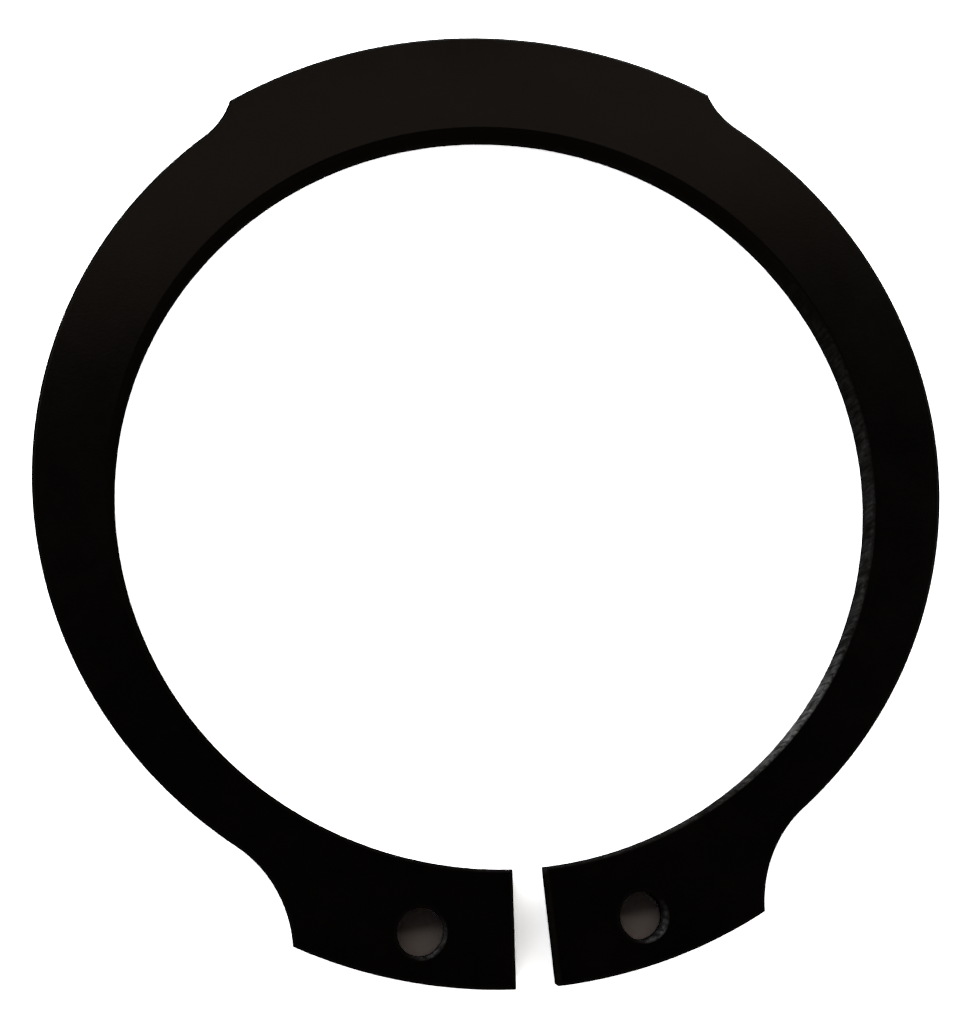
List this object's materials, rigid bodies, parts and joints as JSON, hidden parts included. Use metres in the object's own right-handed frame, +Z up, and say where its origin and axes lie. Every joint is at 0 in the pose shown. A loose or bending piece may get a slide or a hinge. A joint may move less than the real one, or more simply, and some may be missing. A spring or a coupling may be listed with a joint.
{
  "type": "retaining ring",
  "caption": "Flat open ring of spring steel with a raised crown and holed lugs, which snaps into a groove round a shaft.",
  "frame": {"origin": "centre of the bore at the underside of the ring", "axes": "+Z up through the bore, towards the face with the rolled edges; the gap between the lugs points to -Y"},
  "size_m": [0.0548, 0.059, 0.002],
  "materials": {
    "spring_steel": "black phosphated and oiled, matt"
  },
  "bodies": {
    "root": {"retaining_ring": "spring_steel"}
  },
  "joints": []
}
